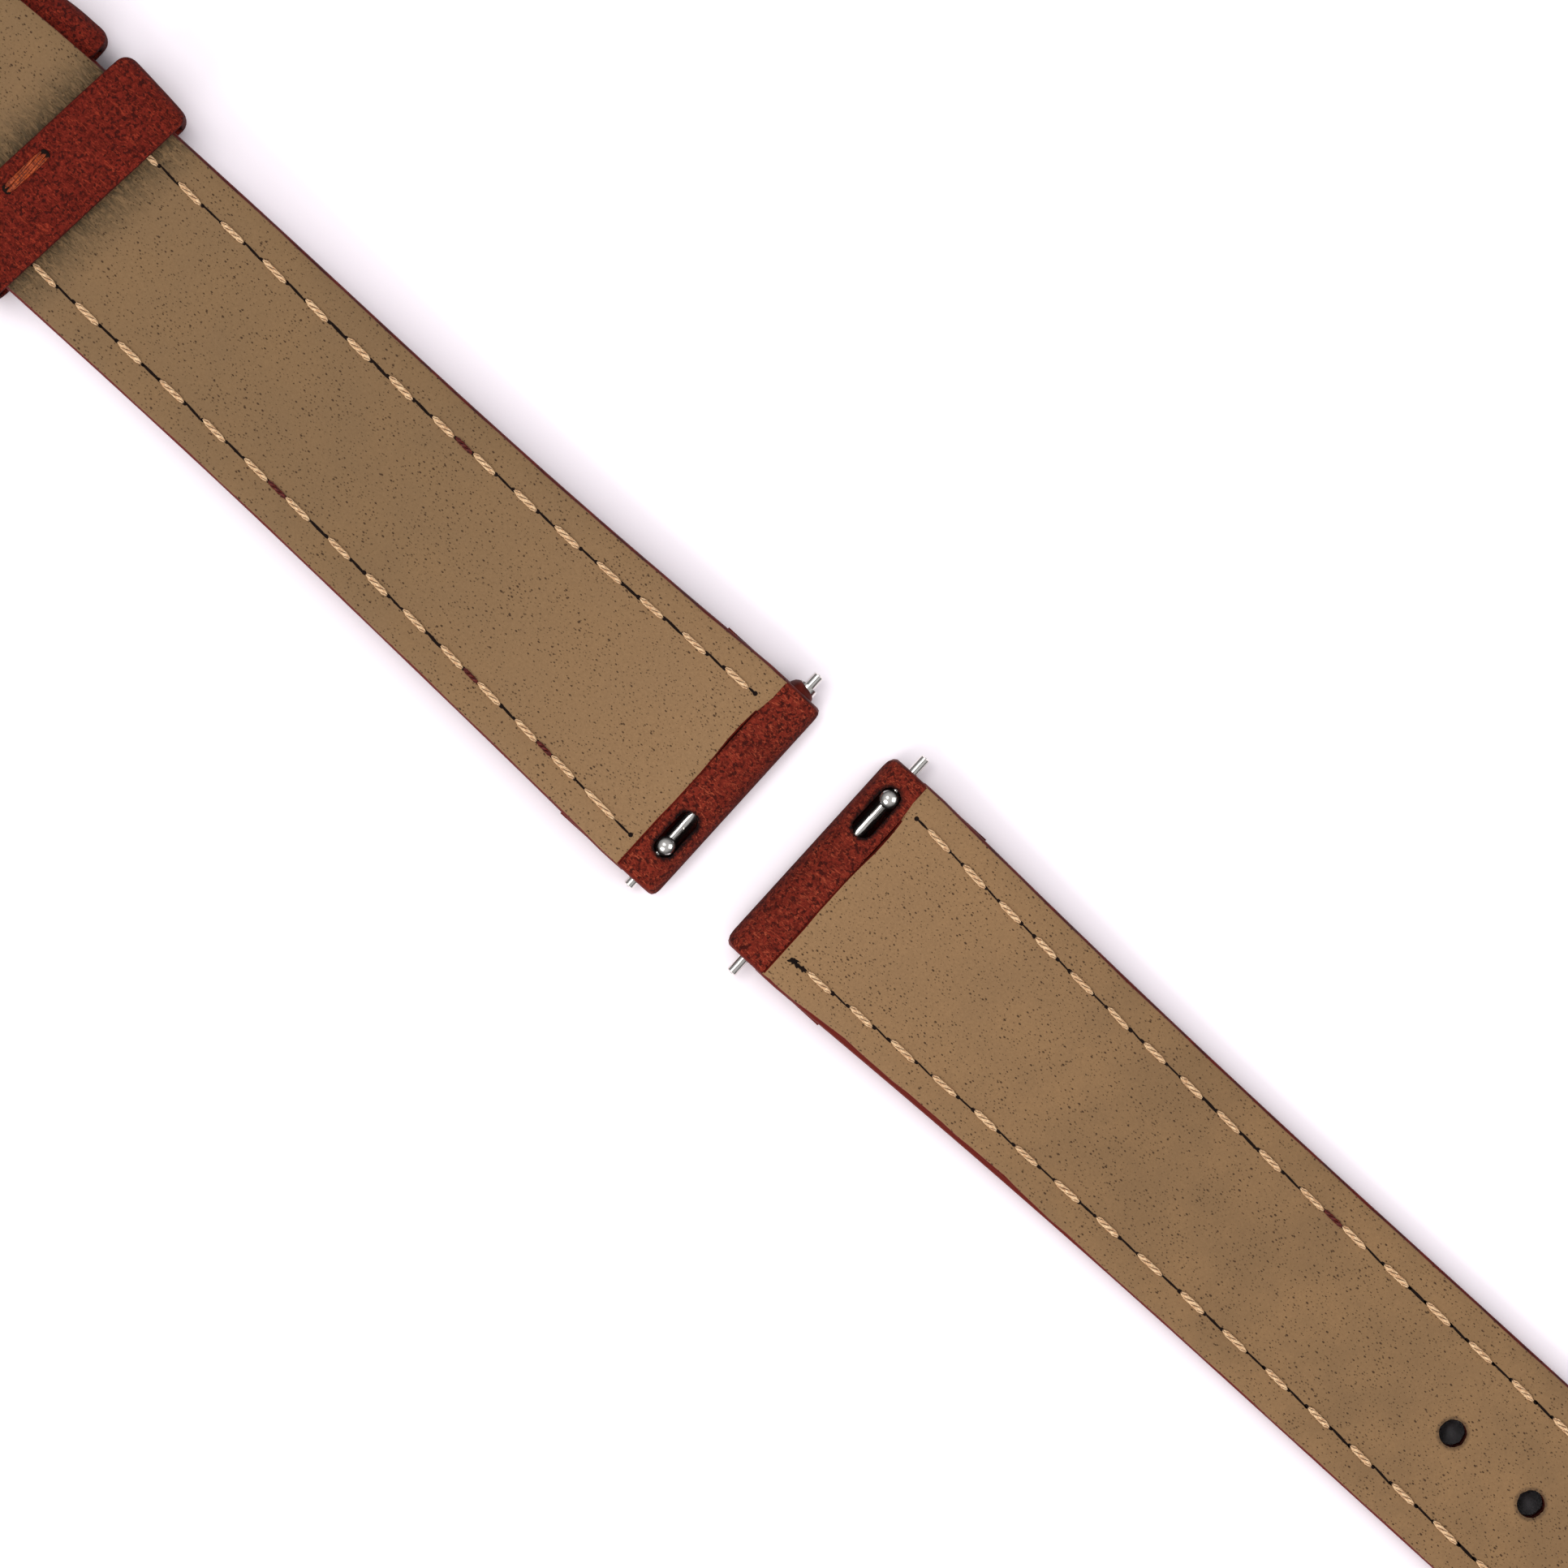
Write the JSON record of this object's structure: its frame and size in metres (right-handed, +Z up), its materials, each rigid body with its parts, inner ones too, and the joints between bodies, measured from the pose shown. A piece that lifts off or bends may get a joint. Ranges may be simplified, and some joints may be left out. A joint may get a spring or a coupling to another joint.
{
  "type": "leather watch strap",
  "caption": "Tapered leather watch strap in a short and a long half, with folded lug ends, quick-release bars, keepers, punched holes and a tang buckle, lying lining side up.",
  "frame": {"origin": "on the table, under the middle of the whole strap's box", "axes": "+X along the strap from the buckle to the point of the long half, +Y across it, +Z up from the table, out of the lining"},
  "size_m": [0.2178, 0.0218, 0.0084],
  "materials": {
    "outer_leather": "red-brown nubuck leather with a fine speckle",
    "lining_leather": "smooth olive-beige lining leather with fine dark pores",
    "edge_filler": "dark brown painted edge",
    "lining_thread": "cream twisted thread",
    "outer_thread": "red-brown twisted thread",
    "keeper_thread": "orange-brown thread",
    "bar_steel": "bright turned stainless steel",
    "spring_steel": "drawn spring wire",
    "buckle_steel": "polished stainless steel"
  },
  "bodies": {
    "short_half": {"short_outer_leather": "outer_leather", "short_filler": "edge_filler", "short_lining": "lining_leather", "short_left_lining_stitches": "lining_thread", "short_left_outer_stitches": "outer_thread", "short_right_lining_stitches": "lining_thread", "short_right_outer_stitches": "outer_thread", "fixed_keeper": "outer_leather", "short_bar_tube": "bar_steel", "short_bar_fixed_tip": "bar_steel", "short_bar_spring": "spring_steel", "buckle_bar_tube": "bar_steel", "buckle_bar_spring": "spring_steel"},
    "long_half": {"long_outer_leather": "outer_leather", "long_filler": "edge_filler", "long_lining": "lining_leather", "long_left_lining_stitches": "lining_thread", "long_left_outer_stitches": "outer_thread", "long_right_lining_stitches": "lining_thread", "long_right_outer_stitches": "outer_thread", "long_bar_tube": "bar_steel", "long_bar_fixed_tip": "bar_steel", "long_bar_spring": "spring_steel"},
    "keeper": {"floating_keeper": "outer_leather", "floating_keeper_stitch": "keeper_thread"},
    "short_release": {"short_release_plunger": "bar_steel", "short_release_knob": "bar_steel"},
    "long_release": {"long_release_plunger": "bar_steel", "long_release_knob": "bar_steel"},
    "buckle": {"buckle_frame": "buckle_steel"},
    "tang": {"buckle_tang": "buckle_steel"},
    "left_buckle_tip": {"buckle_bar_left_tip": "bar_steel"},
    "right_buckle_tip": {"buckle_bar_right_tip": "bar_steel"}
  },
  "joints": [
    {"name": "halves_apart", "type": "slide", "parent": "short_half", "child": "long_half", "axis": [1, 0, 0], "range_m": [0, 0.04]},
    {"name": "keeper_slide", "type": "slide", "parent": "short_half", "child": "keeper", "axis": [0.9984, 0, -0.056], "range_m": [0, 0.03]},
    {"name": "buckle_swing", "type": "hinge", "parent": "short_half", "child": "buckle", "pos_m": [-0.09671, -0.00061, 0.00587], "axis": [0, -1, 0], "range_deg": [-105, 15]},
    {"name": "tang_swing", "type": "hinge", "parent": "buckle", "child": "tang", "pos_m": [-0.09671, -0.00061, 0.00587], "axis": [0, -1, 0], "range_deg": [0, 60]},
    {"name": "short_release_slide", "type": "slide", "parent": "short_half", "child": "short_release", "axis": [0, 1, 0], "range_m": [0, 0.0016], "stiffness_N_per_m": 300, "deforming": ["short_bar_spring"]},
    {"name": "long_release_slide", "type": "slide", "parent": "long_half", "child": "long_release", "axis": [0, -1, 0], "range_m": [0, 0.0016], "stiffness_N_per_m": 300, "deforming": ["long_bar_spring"]},
    {"name": "left_tip_slide", "type": "slide", "parent": "short_half", "child": "left_buckle_tip", "axis": [0, 1, 0], "range_m": [0, 0.001], "stiffness_N_per_m": 300, "deforming": ["buckle_bar_spring"]},
    {"name": "right_tip_slide", "type": "slide", "parent": "short_half", "child": "right_buckle_tip", "axis": [0, -1, 0], "range_m": [0, 0.001], "stiffness_N_per_m": 300, "deforming": ["buckle_bar_spring"]}
  ]
}
